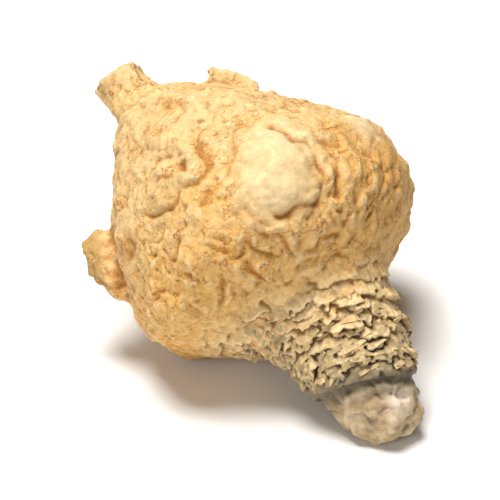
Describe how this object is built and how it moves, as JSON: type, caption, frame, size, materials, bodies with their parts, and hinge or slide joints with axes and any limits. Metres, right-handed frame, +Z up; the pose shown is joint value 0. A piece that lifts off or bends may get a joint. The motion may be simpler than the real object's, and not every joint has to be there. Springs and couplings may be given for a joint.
{
  "type": "maca root",
  "caption": "Whole dried maca root lying on its side: a squat wrinkled bulb with a ringed leaf crown, a taproot stub and short broken side roots",
  "frame": {"origin": "On the surface that the root lies on, under the middle of its box", "axes": "+Z is up as the root lies; the root's axis runs along Y, with the leaf crown towards -Y and a little down and the taproot stub towards +Y; X is across the bulb"},
  "size_m": [0.0358, 0.0468, 0.031],
  "materials": {
    "dried_root": "matte dried root skin, cream on the folds, orange-brown in the creases, greyer on the crown neck"
  },
  "bodies": {
    "root": {"maca_root": "dried_root"}
  },
  "joints": []
}
